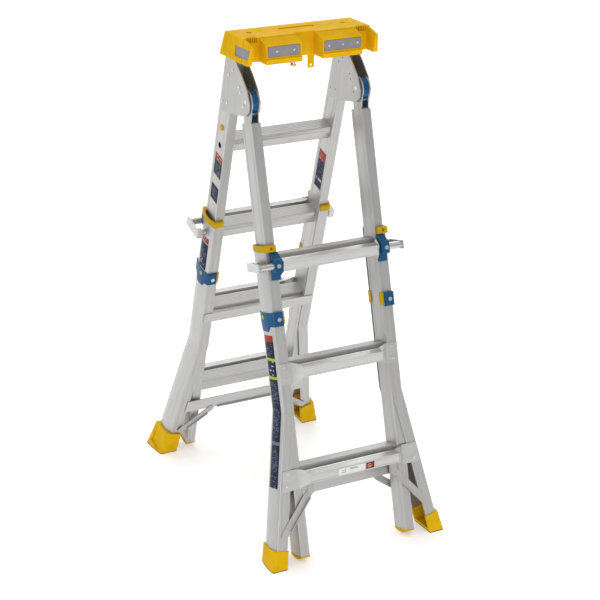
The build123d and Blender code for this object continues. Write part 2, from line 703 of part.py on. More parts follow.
def ear_pad(inset):
    """Bumper let into the outer face of an ear; a negative inset draws its wider recess."""
    y_mid = sum(y for y, z in EAR_PAD) / 4
    z_mid = sum(z for y, z in EAR_PAD) / 4
    grow = 1 - inset / 30
    outline = [(y_mid + (y - y_mid) * grow, z_mid + (z - z_mid) * grow) for y, z in EAR_PAD]
    lean = [(195.6 + inset, 1380), (205.0, 1380), (205.0, 1450), (189.5 + inset, 1450)]
    return slab(outline, 180, 206) & panel(lean, -200, 0)


def tray_pads():
    """Grey bumpers let into the fronts of the blocks and the outer faces of the ears."""
    pads = []
    for _, _, x0, x1 in BLOCKS:
        face = BLOCK_FACE - 1.0
        pad = block(x0, x1, face, BLOCK_FACE + PAD_THICK - 1, PAD_BOTTOM, PAD_BOTTOM + PAD_HEIGHT)
        pads.append(fillet(pad.edges().group_by(Axis.Y)[0], 1.2))
    skin = [(100, 1380), (201.6, 1380), (193.6, 1450), (100, 1450)]
    for side in (-1, 1):
        pads.append(handed(ear_pad(0.0) & panel(skin, -200, 0), side))
    return pads


def tool_holder():
    """Tab and sprung clip under the front of the tray."""
    tab = block(11, 30, -99.9, -96.9, 1347, TRAY_BOTTOM + 12)
    tab -= Pos(20.5, -98, 1355) * Rot(90, 0, 0) * Cylinder(3.5, 12)
    clip = block(-42, -28, -99.9, -96.9, 1362, TRAY_BOTTOM + 12)
    clip += block(-42, -28, -107, -96.9, 1359, 1363)
    return [tab, clip]


# ---------------------------------------------------------------- the whole ladder
def build_inner(name, place, play, end, top, rungs, first_side):
    lock_heights = [LOCK_HEIGHT + (k - 3) * RUNG_PITCH for k in range(1, rungs + 1)]
    rail = inner_rail(play, end + CAP_SKIRT, top, lock_heights)
    rails = []
    for side, word in ((-first_side, "left"), (first_side, "right")):
        stood = place(handed(rail, side))
        rails.append(stood)
        save(f"{name}_inner_rail_{word}", stood)
    for number in range(1, rungs + 1):
        save(f"{name}_inner_rung_{number}", place(inner_rung(number, play)))
    cap = inner_end_cap(play, end)
    caps = [place(handed(cap, side)) for side in (-1, 1)]
    return rails, caps


def build_outer(name, place, first_side):
    rail = outer_rail()
    points = [point for number in (1, 2, 3) for point in rivet_points(name, number)]
    for x, z in points:
        rail -= rod_y(RIVET_SHANK, OUTER_Y0 - 5, OUTER_Y0 + 5, x, z)
    for side, word in ((-first_side, "left"), (first_side, "right")):
        save(f"{name}_outer_rail_{word}", above(place(handed(rail, side)), BOOT_FLOOR))
        save(f"{name}_lock_handle_{word}", place(handed(lock_handle(), side)))
    for number in (1, 2, 3):
        save(f"{name}_outer_rung_{number}", place(outer_rung(name, number)))
    boots, soles = boots_and_soles(name, place, rail)
    if first_side < 0:
        boots.reverse()
    for word, boot in zip(("left", "right"), boots):
        save(f"{name}_boot_{word}", boot)
    save(f"{name}_soles", group(soles))

    def both(shape):
        return [place(handed(shape, side)) for side in (-1, 1)]

    save(f"{name}_braces", group(both(front_brace()) + both(back_brace()) + both(rung_bracket(name))))
    save(f"{name}_brace_bar", group([place(bar) for bar in brace_bars()]))
    save(f"{name}_top_guides", group(both(top_guide(rail))))
    save(f"{name}_lower_clamps", group(both(lower_clamp(rail))))
    pads = [pad for piece in guide_pad(rail) for pad in both(piece)]
    save(f"{name}_guide_pads", group(pads))
    save(f"{name}_lock_brackets", group(both(lock_bracket(name))))
    back = OUTER_Y0 - SHEET
    rivets = []
    for x, z in points:
        rivets += both(rivet_y(x, z, back, OUTER_Y0 + OUTER_WALL))
    clamp_z = (CLAMP_BOTTOM + CLAMP_TOP) / 2
    for face, out, jaw in ((OUTER_Y0, -1, CLAMP_FRONT), (OUTER_Y1, 1, CLAMP_BACK)):
        reach = [face, face + out * jaw, face + out * (jaw + 3)]
        bolt = rod_y(2.8, min(reach[0], reach[2]), max(reach[0], reach[2]), CLAMP_BOLT_X, clamp_z)
        bolt += rod_y(6.0, min(reach[1], reach[2]), max(reach[1], reach[2]), CLAMP_BOLT_X, clamp_z)
        rivets += both(bolt)
    face = back - BRACKET_REACH
    bolt = rod_y(3.0, face, face + 1.5, BRACKET_BOLT_X, LOCK_HEIGHT)
    bolt += rod_y(6.2, face - 3, face, BRACKET_BOLT_X, LOCK_HEIGHT)
    rivets += both(bolt)
    guide_face = OUTER_Y0 - GUIDE_FRONT
    guide_z = (GUIDE_BOTTOM + GUIDE_TOP) / 2
    rivets += both(rod_y(2.8, guide_face - 1.5, guide_face + 1.5, CLAMP_BOLT_X, guide_z))
    save(f"{name}_fasteners", group(rivets))


def main():
    os.makedirs("parts", exist_ok=True)
    _, front_caps = build_inner("front", front, HINGE_PLAY, FRONT_CAP_END, FRONT_INNER_TOP, 3, 1)
    save("front_rail_end_caps", group(front_caps))
    rear_rails, rear_caps = build_inner("rear", rear, 0.0, REAR_CAP_END, REAR_INNER_TOP, 4, -1)
    plug = rear(handed(rod_x(8.5, INNER_X1, INNER_X1 + 3.0, 30, LOCK_HEIGHT + RUNG_PITCH + 60), 1))
    save("rear_rail_end_caps", group(rear_caps + [plug]))
    for name, place, first_side in (("front", front, 1), ("rear", rear, -1)):
        build_outer(name, place, first_side)

    outer_plate = hinge_plate(INNER_X1, INNER_X1 + HINGE_PLATE)
    inner_plate = hinge_plate(INNER_X0 - HINGE_PLATE, INNER_X0)
    plates = []
    for side, word in ((-1, "left"), (1, "right")):
        pair = [handed(outer_plate, side), handed(inner_plate, side)]
        plates += pair
        save(f"hinge_plates_{word}", group(pair))
        hub_x0 = INNER_X0 + HINGE_PLAY + INNER_WALL + HINGE_PLATE
        hub_x1 = INNER_X1 - HINGE_PLAY - INNER_WALL - HINGE_PLATE
        arms = [hinge_arm(hub_x0 - HINGE_PLATE, hub_x0), hinge_arm(hub_x1, hub_x1 + HINGE_PLATE)]
        save(f"hinge_arms_{word}", group([front(handed(arm, side)) for arm in arms]))
        save(f"hinge_hub_{word}", front(handed(hinge_hub(hub_x0, hub_x1), side)))
        save(f"hinge_release_{word}", front(handed(hinge_release(hub_x0 + 0.4, hub_x1 - 0.4), side)))
    y, z = pivot_line()
    pin = rod_x(PIN_RADIUS, INNER_X0 - HINGE_PLATE, INNER_X1 + HINGE_PLATE, y, z)
    save("hinge_pins", group([handed(pin, side) for side in (-1, 1)]))
    rivets = [handed(plate_rivet(*spot), side) for spot in PLATE_RIVETS for side in (-1, 1)]
    save("hinge_plate_rivets", group(rivets))
    body = tray(rear_rails, plates)
    save("tray", body)
    save("tray_pads", group([pad - body for pad in tray_pads()]))
    save("tray_tool_holders", group(tool_holder()))


main()
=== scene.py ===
import json
import math
import random

import bmesh
import bpy
from mathutils import Matrix, Vector
from mathutils.bvhtree import BVHTree


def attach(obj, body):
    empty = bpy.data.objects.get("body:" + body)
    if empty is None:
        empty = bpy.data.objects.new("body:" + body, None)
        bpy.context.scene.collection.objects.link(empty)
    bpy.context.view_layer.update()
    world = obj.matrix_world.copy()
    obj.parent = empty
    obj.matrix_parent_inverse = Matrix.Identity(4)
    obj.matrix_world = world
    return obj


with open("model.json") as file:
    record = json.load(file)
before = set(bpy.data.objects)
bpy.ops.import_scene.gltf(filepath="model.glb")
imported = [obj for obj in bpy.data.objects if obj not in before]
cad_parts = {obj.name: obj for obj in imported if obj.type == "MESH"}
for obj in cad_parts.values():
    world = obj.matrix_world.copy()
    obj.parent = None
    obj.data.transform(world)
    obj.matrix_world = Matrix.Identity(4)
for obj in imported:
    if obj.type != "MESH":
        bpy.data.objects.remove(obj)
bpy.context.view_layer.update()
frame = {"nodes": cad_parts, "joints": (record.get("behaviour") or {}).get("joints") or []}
NODES = frame["nodes"]
JOINTS = {joint["name"]: joint for joint in frame["joints"]}
X_AXIS, Z_AXIS = 0, 2

# ---------------------------------------------------------------- places and sizes, in metres
FOOT_REACH = 0.4506     # from the middle to the floor line of either section
WEB_FAR = 0.30          # a start for rays well outside the rails
IN_RAIL = 0.10          # a start for rays between the rails
RUNG_START = -0.10      # a start for rays in front of the rungs
TRAY_START = -0.25      # a start for rays in front of the tray

PAD_SCREWS = (-0.114, -0.062, 0.045, 0.088, 0.133)
PAD_MIDDLE = 1.419
SCREW_X = 0.1767        # the red screws, in the section's own frame
GUIDE_HEIGHT = 0.9125
TAG_Y = 0.037           # the lower clamps' windows, in the section's own frame
CLAMP_HEIGHT = 0.718
BOLT_FOOT = (-0.0395, -0.112, 1.3655)

SOFT_EDGES = {
    "tray": 0.0012,
    "boot": 0.0009,
    "clamps": 0.0006,
    "brackets": 0.0006,
    "handle": 0.0008,
    "hub": 0.0005,
}
SOFT_ANGLE = math.radians(38)
SPLIT_ANGLE = math.radians(40)
SIDES = 24              # of a turned piece
HEX_SIDE = math.pi / 3  # the angle one side of a hexagon takes up

# Turned pieces, as rings of (radius, height, hexagonal).
SINK = -0.0004          # where a screw head starts, below the surface
PAD_SCREW_SIZE = (0.0032, 0.0012)       # radius and height
GUIDE_SCREW_SIZE = (0.0036, 0.0016)
# A flat dark disc under each lime tag, painted shade in the clamp's window.
SHADE_DISC_RINGS = [(0.0089, 0.0, False), (0.0089, 0.0004, False)]
TAG_RINGS = [
    (0.0066, 0.0, False),
    (0.0066, 0.0016, False),
    (0.0060, 0.0026, False),
    (0.0040, 0.0031, False),
    (0.0034, 0.0031, True),
    (0.0030, 0.0024, True),
]
BOLT_RINGS = [
    (0.0030, 0.0, False),
    (0.0030, 0.0040, False),
    (0.0058, 0.0042, True),
    (0.0058, 0.0090, True),
    (0.0034, 0.0092, False),
    (0.0034, 0.0150, False),
    (0.0062, 0.0152, False),
    (0.0062, 0.0196, False),
]

# ---------------------------------------------------------------- labels
INK_LIFT = 0.00012      # from the surface to the film
FILM = 0.00018
CELL = 0.0016
FEWEST_CELLS = 8
RUNG_LABEL_FOOT = 0.2388    # lower edge of the long rung label, along the section
MARGIN = 0.08           # edge left plain beside the bars, as a share of the label
INK_SHARE = 0.62        # how much of a line's height is ink
WORD_GAP = 0.07         # half the gap in a bar
BAR_START = (0.1, 0.3)
BAR_STOP = (0.2, 0.95)
BAR_GAP = (0.3, 0.7)

# ---------------------------------------------------------------- grain and colour
# Sizes are in metres, a bump is (distance in metres, strength), and a rough range is either
# the lowest and highest roughness or how far it wanders about the piece's own.
NOISE_LOW, NOISE_HIGH = 0.3, 0.7        # most of a noise lies between these
# The convex edges of the plastics are lightened as a painted highlight; these set where it starts, where
# it is full and its share.
HIGHLIGHT_EDGE_START, HIGHLIGHT_EDGE_FULL = 0.52, 0.62      # pointiness where the painted highlight on an edge starts, and is full
HIGHLIGHT_EDGE_SHARE = 0.35

LINE_WIDTH, LINE_RUN = 0.0009, 0.22     # die lines of extruded aluminium
LINE_SHARE = 0.5
LINE_BUMP = (0.00006, 0.55)
BAND_WIDTH, BAND_RUN = 0.012, 0.5
ALLOY_CLOUD = (0.05, 0.05, 0.09)
ALLOY_CLOUD_ROUGH = (-0.05, 0.06)
ALLOY_CLOUD_BUMP = (0.0004, 0.08)
ALLOY_SPECK = 0.0016
ALLOY_SPECK_ROUGH = (-0.03, 0.04)
ALLOY_LIGHT = (1.045, 1.04, 1.01)       # shares of a piece's tone
ALLOY_DARK = (0.945, 0.94, 0.915)
ALLOY_LINE = (0.9, 0.9, 0.88)
ALLOY_METAL = 0.86

BRIGHT_CLOUD = 0.006
BRIGHT_CLOUD_BUMP = (0.0003, 0.12)
BRIGHT_SPECK = 0.0007
BRIGHT_SPECK_BUMP = (0.00004, 0.3)
BRIGHT_ROUGH = (0.26, 0.38)
BRIGHT_LIGHT, BRIGHT_DARK = (0.60, 0.60, 0.60), (0.50, 0.50, 0.51)
ZINC_CLOUD = 0.002
ZINC_BUMP = (0.0002, 0.15)
ZINC_ROUGH = (0.2, 0.36)
ZINC_LIGHT, ZINC_DARK = (0.72, 0.72, 0.71), (0.56, 0.57, 0.58)

TEXTURE_ROUGH = (-0.03, 0.03)           # the grain of moulded plastic
TEXTURE_STRENGTH = 0.6
FLOW = (0.035, 0.035, 0.03)
FLOW_BUMP = (0.0006, 0.06)
SCUFF, SCUFF_TURN = (0.004, 0.02, 0.004), (0.3, 0.5, 0.9)
SCUFF_SHARE = 0.12
SCUFF_ROUGH = (-0.06, 0.08)
SCUFF_AND_HIGHLIGHT_GAIN, SCUFF_AND_HIGHLIGHT_LIFT = 1.08, 0.02   # from a plastic's colour to its scuffed colour, also used as its painted edge highlight

INK_FILM = 0.0016
INK_FADE = (0.02, 0.02, 0.05)
INK_ROUGH = (0.4, 0.5)
INK_SHINE = 0.12
INK_BUMP = (0.00003, 0.4)
FADED_GAIN, FADED_LIFT = 0.85, 0.004    # from an ink's colour to its faded colour
FADED_SHARE = 0.6
FLOOR_LIGHT, FLOOR_DARK = (0.93, 0.93, 0.93), (0.915, 0.915, 0.915)

# ---------------------------------------------------------------- stage, lights and camera
FLOOR_SIZE = 40
FLOOR_CLOUD = 0.4
FLOOR_GLOW = 0.28
WORLD_TOP = 1.00
WORLD_SIDE = 0.33
WORLD_BACK = 1.00       # how much brighter the studio is behind the ladder
BACK_START, BACK_FULL = 0.3, 0.9
MIDDLE = (0, 0, 0.75)
LIGHTS = (              # name, place, target, size, watts
    ("key", (-1.1, -3.6, 4.6), MIDDLE, (2.4, 2.4), 9),
    ("low", (-0.9, -2.9, 0.55), (0, -0.3, 0.15), (1.6, 0.6), 12),
    ("back", (2.2, 5.2, 2.9), MIDDLE, (3.6, 1.6), 40),
)
CAMERA_PLACE = Vector((-2.02613, -4.10650, 2.44283))
CAMERA_LOOK = Vector((0.4170, 0.8302, -0.3701))
CAMERA_LENS = 98.87
CAMERA_SENSOR = 36.0


# ---------------------------------------------------------------- the two leaning sections
def lean(joint):
    """Angle between a section and the vertical, from the way its outer part slides."""
    _, y, z = JOINTS[joint]["axis"]
    return math.atan2(abs(y), abs(z))


FRONT_LEAN = lean("front_extend")
REAR_LEAN = lean("rear_extend")
FRONT = Matrix.Translation((0, -FOOT_REACH, 0)) @ Matrix.Rotation(-FRONT_LEAN, 4, "X")
REAR_UPRIGHT = Matrix.Translation((0, FOOT_REACH, 0)) @ Matrix.Rotation(REAR_LEAN, 4, "X")
REAR = REAR_UPRIGHT @ Matrix.Rotation(math.pi, 4, "Z")
PLACES = {"front": FRONT, "rear": REAR}


# ---------------------------------------------------------------- material helpers
class Nodes:
    """Short way to write a procedural material."""

    def __init__(self, name):
        self.material = bpy.data.materials.new(name)
        self.material.use_nodes = True
        self.tree = self.material.node_tree
        self.shader = self.tree.nodes["Principled BSDF"]
        self.coords = self.add("ShaderNodeTexCoord").outputs["Object"]

    def add(self, kind, **settings):
        node = self.tree.nodes.new(kind)
        for key, value in settings.items():
            setattr(node, key, value)
        return node

    def link(self, source, target):
        self.tree.links.new(source, target)

    def give(self, socket, value):
        """Feed a socket with another node's output or a plain value."""
        if hasattr(value, "links"):
            self.link(value, socket)
        else:
            socket.default_value = value

    def set(self, **values):
        for key, value in values.items():
            self.give(self.shader.inputs[key.replace("_", " ")], value)

    def grain(self, sizes, turn=(0, 0, 0), detail=3.0, rough=0.55):
        """Noise whose features have these sizes in metres along the turned axes."""
        mapping = self.add("ShaderNodeMapping", vector_type="TEXTURE")
        mapping.inputs["Rotation"].default_value = turn
        mapping.inputs["Scale"].default_value = sizes
        self.link(self.coords, mapping.inputs["Vector"])
        noise = self.add("ShaderNodeTexNoise")
        noise.inputs["Scale"].default_value = 1.0
        noise.inputs["Detail"].default_value = detail
        noise.inputs["Roughness"].default_value = rough
        self.link(mapping.outputs["Vector"], noise.inputs["Vector"])
        return noise.outputs["Fac"]

    def fit(self, value, start, stop, low=0.0, high=1.0):
        """Map start to stop onto low to high."""
        node = self.add("ShaderNodeMapRange")
        node.inputs["From Min"].default_value = start
        node.inputs["From Max"].default_value = stop
        node.inputs["To Min"].default_value = low
        node.inputs["To Max"].default_value = high
        self.link(value, node.inputs["Value"])
        return node.outputs["Result"]

    def spread(self, noise, low, high):
        """Stretch a noise, which stays near one half, over low to high."""
        return self.fit(noise, NOISE_LOW, NOISE_HIGH, low, high)

    def maths(self, operation, first, second):
        node = self.add("ShaderNodeMath", operation=operation)
        self.give(node.inputs[0], first)
        self.give(node.inputs[1], second)
        return node.outputs[0]

    def blend(self, factor, first, second):
        mix = self.add("ShaderNodeMix", data_type="RGBA")
        self.give(mix.inputs["Factor"], factor)
        self.give(mix.inputs["A"], first)
        self.give(mix.inputs["B"], second)
        return mix.outputs["Result"]

    def mottle(self, noise, first, second, share=1.0):
        """Mix two colours by a noise, with at most this share of the second."""
        return self.blend(self.spread(noise, 0.0, share), first, second)

    def uneven(self, middle, wide, wide_range, fine, fine_range):
        """Roughness that wanders about a middle value with a wide noise and a fine one."""
        low, high = wide_range
        broad = self.spread(wide, middle + low, middle + high)
        self.set(Roughness=self.maths("ADD", broad, self.spread(fine, *fine_range)))

    def bump(self, *layers):
        """Stack height layers, each (value, distance in metres, strength)."""
        normal = None
        for value, distance, strength in layers:
            node = self.add("ShaderNodeBump")
            node.inputs["Distance"].default_value = distance
            node.inputs["Strength"].default_value = strength
            self.link(value, node.inputs["Height"])
            if normal is not None:
                self.link(normal, node.inputs["Normal"])
            normal = node.outputs["Normal"]
        self.link(normal, self.shader.inputs["Normal"])

    def painted_edge_highlight(self):
        """Mask of the convex edges, where the painted highlight goes."""
        geometry = self.add("ShaderNodeNewGeometry")
        edges = self.fit(geometry.outputs["Pointiness"], HIGHLIGHT_EDGE_START, HIGHLIGHT_EDGE_FULL)
        return self.maths("MULTIPLY", edges, HIGHLIGHT_EDGE_SHARE)


def shade(red, green, blue):
    return (red, green, blue, 1.0)


def even(value):
    return (value, value, value)


def scaled(colour, shares):
    return shade(*(c * share for c, share in zip(colour, shares)))


def drawn(width, run, along):
    """Sizes of a grain drawn out along one axis."""
    sizes = [width, width, width]
    sizes[along] = run
    return sizes


# ---------------------------------------------------------------- materials
def aluminium(name, turn, along, tone, rough=0.42):
    """Extruded aluminium, with die lines along one turned axis."""
    n = Nodes(name)
    lines = n.grain(drawn(LINE_WIDTH, LINE_RUN, along), turn, detail=2.0)
    bands = n.grain(drawn(BAND_WIDTH, BAND_RUN, along), turn, detail=2.0)
    cloud = n.grain(ALLOY_CLOUD, turn, detail=4.0)
    speck = n.grain(even(ALLOY_SPECK), turn, detail=3.0, rough=0.7)
    light, dark, line = (scaled(even(tone), shares) for shares in (ALLOY_LIGHT, ALLOY_DARK, ALLOY_LINE))
    n.set(Base_Color=n.mottle(lines, n.mottle(bands, light, dark), line, LINE_SHARE))
    n.uneven(rough, cloud, ALLOY_CLOUD_ROUGH, speck, ALLOY_SPECK_ROUGH)
    n.set(Metallic=ALLOY_METAL)
    n.bump((lines, *LINE_BUMP), (cloud, *ALLOY_CLOUD_BUMP))
    return n.material


def polished(name):
    """Cast and tumbled bright aluminium."""
    n = Nodes(name)
    cloud = n.grain(even(BRIGHT_CLOUD), detail=4.0)
    speck = n.grain(even(BRIGHT_SPECK), detail=2.0)
    n.set(Base_Color=n.mottle(cloud, shade(*BRIGHT_LIGHT), shade(*BRIGHT_DARK)))
    n.set(Roughness=n.spread(cloud, *BRIGHT_ROUGH), Metallic=1.0)
    n.bump((cloud, *BRIGHT_CLOUD_BUMP), (speck, *BRIGHT_SPECK_BUMP))
    return n.material


def zinc(name):
    """Bright plated steel for screws and rivets."""
    n = Nodes(name)
    cloud = n.grain(even(ZINC_CLOUD), detail=4.0)
    n.set(Base_Color=n.mottle(cloud, shade(*ZINC_LIGHT), shade(*ZINC_DARK)))
    n.set(Roughness=n.spread(cloud, *ZINC_ROUGH), Metallic=1.0)
    n.bump((cloud, *ZINC_BUMP))
    return n.material


def plastic(name, colour, rough=0.42, grain=0.0009, depth=0.00006, deep=0.82, shine=0.25):
    """Moulded plastic: spark-eroded grain, faint flow shading, scuffs and a painted highlight on the
    convex edges.
    """
    n = Nodes(name)
    texture = n.grain(even(grain), detail=2.0, rough=0.6)
    flow = n.grain(FLOW, detail=3.0)
    scuff = n.grain(SCUFF, SCUFF_TURN, detail=5.0, rough=0.7)
    # Scuffed colour, which is also the painted highlight on the convex edges.
    light = shade(*(min(1.0, c * SCUFF_AND_HIGHLIGHT_GAIN + SCUFF_AND_HIGHLIGHT_LIFT) for c in colour))
    tone = n.mottle(flow, shade(*colour), scaled(colour, even(deep)))
    tone = n.mottle(scuff, tone, light, SCUFF_SHARE)
    # Convex edges lightened towards that colour: a painted highlight.
    n.set(Base_Color=n.blend(n.painted_edge_highlight(), tone, light))
    n.uneven(rough, scuff, SCUFF_ROUGH, texture, TEXTURE_ROUGH)
    n.set(Specular_IOR_Level=shine)
    n.bump((texture, depth, TEXTURE_STRENGTH), (flow, *FLOW_BUMP))
    return n.material


def printed(name, colour):
    """Ink on a gloss label film."""
    n = Nodes(name)
    film = n.grain(even(INK_FILM), detail=2.0)
    fade = n.grain(INK_FADE, detail=3.0)
    faded = shade(*(c * FADED_GAIN + FADED_LIFT for c in colour))
    n.set(Base_Color=n.mottle(fade, shade(*colour), faded, FADED_SHARE))
    n.set(Roughness=n.spread(film, *INK_ROUGH), Specular_IOR_Level=INK_SHINE)
    n.bump((film, *INK_BUMP))
    return n.material


FRONT_TURN = (-FRONT_LEAN, 0.0, 0.0)
REAR_TURN = (REAR_LEAN, 0.0, 0.0)
# Each copy of the aluminium has its own tone as painted light and shade: the rungs lighter for their
# bright treads, the front rails darker than the rear ones, the plates darkest.
FRONT_ALLOY = aluminium("aluminium_front_rail", FRONT_TURN, Z_AXIS, tone=0.50)
REAR_ALLOY = aluminium("aluminium_rear_rail", REAR_TURN, Z_AXIS, tone=0.53)
RUNG_ALLOY = aluminium("aluminium_rung", (0, 0, 0), X_AXIS, tone=0.56, rough=0.38)
PLATE_ALLOY = aluminium("aluminium_plate", (0.2, 0, 0), Z_AXIS, tone=0.48, rough=0.44)
POLISHED = polished("polished_aluminium")
ZINC = zinc("zinc_steel")
TRAY_YELLOW = plastic(
    "tray_yellow", (0.80, 0.46, 0.003), rough=0.55, grain=0.0011, depth=0.00009, shine=0.012
)
GUIDE_YELLOW = plastic("guide_yellow", (0.58, 0.36, 0.0012), rough=0.4, shine=0.04)
BOOT_YELLOW = plastic(
    "boot_yellow", (0.76, 0.46, 0.004), rough=0.55, grain=0.0014, depth=0.0001, shine=0.04
)
LOCK_BLUE = plastic(
    "lock_blue", (0.0015, 0.08, 0.20), rough=0.36, grain=0.0008, depth=0.00004, deep=0.75, shine=0.16
)
HUB_BLUE = plastic("hub_blue", (0.002, 0.08, 0.22), rough=0.34, grain=0.0008, depth=0.00004, deep=0.7)
NAVY = plastic("release_navy", (0.006, 0.018, 0.05), rough=0.4)
PAD_GREY = plastic("pad_grey", (0.27, 0.27, 0.29), rough=0.6, grain=0.0012, depth=0.0001)
SOLE_BLACK = plastic("sole_black", (0.035, 0.034, 0.032), rough=0.7, grain=0.0012, depth=0.0001)
LABEL_NAVY = printed("label_navy", (0.006, 0.016, 0.045))
LABEL_RED = printed("label_red", (0.36, 0.035, 0.012))
LABEL_WHITE = printed("label_white", (0.50, 0.50, 0.50))
LABEL_LIME = printed("label_lime", (0.38, 0.50, 0.02))
LABEL_PALE = printed("label_pale", (0.13, 0.17, 0.22))
LABEL_SILVER = printed("label_silver", (0.78, 0.78, 0.76))
LABEL_BLACK = printed("label_black", (0.02, 0.02, 0.022))
SCREW_RED = plastic("screw_red", (0.45, 0.03, 0.01), rough=0.4)
TAG_LIME = plastic("tag_lime", (0.42, 0.55, 0.01), rough=0.4)

INKS = (LABEL_NAVY, LABEL_RED, LABEL_WHITE, LABEL_LIME, LABEL_PALE, LABEL_BLACK, LABEL_SILVER)
NAVY_INK, RED_INK, WHITE_INK, LIME_INK, PALE_INK, BLACK_INK, SILVER_INK = range(len(INKS))

# The first row with a word that is in a node's name gives its material.
NODE_MATERIALS = (
    (("front_inner_rail", "front_outer_rail"), FRONT_ALLOY),
    (("rear_inner_rail", "rear_outer_rail"), REAR_ALLOY),
    (("rung", "brace_bar"), RUNG_ALLOY),
    (("braces", "hinge_plates", "hinge_arms"), PLATE_ALLOY),
    (("lock_handle",), POLISHED),
    (("fasteners", "rivets", "pins"), ZINC),
    (("soles",), SOLE_BLACK),
    (("boot",), BOOT_YELLOW),
    (("top_guides", "guide_pads", "end_caps"), GUIDE_YELLOW),
    (("lower_clamps", "lock_brackets"), LOCK_BLUE),
    (("hub",), HUB_BLUE),
    (("release",), NAVY),
    (("tray_pads",), PAD_GREY),
    (("tray",), TRAY_YELLOW),
)


def dress(node):
    slots = NODES[node].data.materials
    slots.clear()
    for words, material in NODE_MATERIALS:
        if any(word in node for word in words):
            slots.append(material)
            return
    raise ValueError(f"no material for {node}")


def soften(node):
    """Small bevels on the moulded pieces."""
    for word, width in SOFT_EDGES.items():
        if word in node:
            bevel = NODES[node].modifiers.new("soft_edges", "BEVEL")
            bevel.width = width
            bevel.segments = 2
            bevel.limit_method = "ANGLE"
            bevel.angle_limit = SOFT_ANGLE
            bevel.use_clamp_overlap = True
            return


# ---------------------------------------------------------------- things that lie on a surface
TREES = {}


def hit(node, origin, direction):
    """Where a ray meets a node's surface, and the surface's normal there."""
    if node not in TREES:
        mesh = NODES[node].data
        points = [vertex.co.copy() for vertex in mesh.vertices]
        TREES[node] = BVHTree.FromPolygons(points, [list(face.vertices) for face in mesh.polygons])
    place, normal, _, _ = TREES[node].ray_cast(origin, direction)
    if place is None:
        raise ValueError(f"nothing of {node} lies along that line")
    return place, (normal if normal.dot(direction) < 0 else -normal)


def new_piece(name, body, build, materials):
    """Object on a body, from a finished bmesh."""
    mesh = bpy.data.meshes.new(name)
    build.to_mesh(mesh)
    build.free()
    piece = bpy.data.objects.new(name, mesh)
    bpy.context.scene.collection.objects.link(piece)
    for material in materials:
        mesh.materials.append(material)
    for face in mesh.polygons:
        face.use_smooth = True
    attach(piece, body)
    return piece


def sticker(name, body, node, place, corner, across, up, toward, cells, look):
    """Printed film that follows the surface: a grid of cells, each with one of the inks."""
    corner, across, up = Vector(corner), Vector(across), Vector(up)
    direction = (place.to_3x3() @ Vector(toward)).normalized()
    columns, rows = cells
    build = bmesh.new()
    grid = []
    for row in range(rows + 1):
        line = []
        for column in range(columns + 1):
            local = corner + across * (column / columns) + up * (row / rows)
            point, _ = hit(node, place @ local, direction)
            line.append(build.verts.new(point - direction * INK_LIFT))
        grid.append(line)
    for row in range(rows):
        low, high = grid[row], grid[row + 1]
        for column in range(columns):
            face = build.faces.new((low[column], low[column + 1], high[column + 1], high[column]))
            face.material_index = look((column + 0.5) / columns, (row + 0.5) / rows)
    bmesh.ops.recalc_face_normals(build, faces=build.faces)
    build.faces.ensure_lookup_table()
    if build.faces[0].normal.dot(direction) > 0:
        bmesh.ops.reverse_faces(build, faces=build.faces)
    film = new_piece(name, body, build, INKS).modifiers.new("film", "SOLIDIFY")
    film.thickness = FILM
    film.offset = 1.0


def frame_at(point, normal):
    """Placing whose +Z is the surface's normal."""
    return Matrix.Translation(point) @ normal.to_track_quat("Z", "Y").to_matrix().to_4x4()


def lathe(build, placing, rings):
    """Rings spun about +Z, closed at both ends."""
    loops = []
    for radius, height, hexagonal in rings:
        loop = []
        for k in range(SIDES):
            angle = 2 * math.pi * k / SIDES
            reach = radius
            if hexagonal:
                reach = radius * math.cos(HEX_SIDE / 2) / math.cos(angle % HEX_SIDE - HEX_SIDE / 2)
            point = Vector((reach * math.cos(angle), reach * math.sin(angle), height))
            loop.append(build.verts.new(placing @ point))
        loops.append(loop)
    for low, high in zip(loops, loops[1:]):
        for k in range(SIDES):
            after = (k + 1) % SIDES
            build.faces.new((low[k], low[after], high[after], high[k]))
    build.faces.new(list(reversed(loops[0])))
    build.faces.new(loops[-1])


def spun(name, body, placings, rings, material):
    """The same turned piece at each placing."""
    build = bmesh.new()
    for placing in placings:
        lathe(build, placing, rings)
    bmesh.ops.recalc_face_normals(build, faces=build.faces)
    piece = new_piece(name, body, build, [material])
    piece.modifiers.new("edges", "EDGE_SPLIT").split_angle = SPLIT_ANGLE


def screws(name, body, spots, radius, height, material):
    """Domed screw heads with a hexagonal socket, one at each (point, normal)."""
    rings = [
        (radius, SINK, False),
        (radius, height * 0.35, False),
        (radius * 0.93, height * 0.68, False),
        (radius * 0.76, height * 0.92, False),
        (radius * 0.58, height, False),
        (radius * 0.52, height, True),
        (radius * 0.48, height * 0.35, True),
        (radius * 0.10, height * 0.25, False),
    ]
    spun(name, body, [frame_at(point, normal) for point, normal in spots], rings, material)


# ---------------------------------------------------------------- labels
class Print:
    """Bands of a label from its foot to its head: plain ones, and ones with bars in place of words."""

    def __init__(self, seed, bands):
        self.bands = bands
        self.random = random.Random(seed)
        self.bars = {}

    def __call__(self, u, v):
        ground, ink, lines = next(rest for end, *rest in self.bands if v <= end)
        if ink is not None and MARGIN < u < 1 - MARGIN and self.inked(u, v, lines):
            return ink
        return ground

    def inked(self, u, v, lines):
        row = int(v * lines)
        if row % 2 or (v * lines) % 1 > INK_SHARE:
            return False
        if row not in self.bars:
            self.bars[row] = [self.random.uniform(*ends) for ends in (BAR_START, BAR_STOP, BAR_GAP)]
        start, stop, gap = self.bars[row]
        return start < u < stop and abs(u - gap) > WORD_GAP


def band(end, ground, ink=None, lines=1):
    """Band that reaches up to this share of a label's height."""
    return (end, ground, ink, lines)


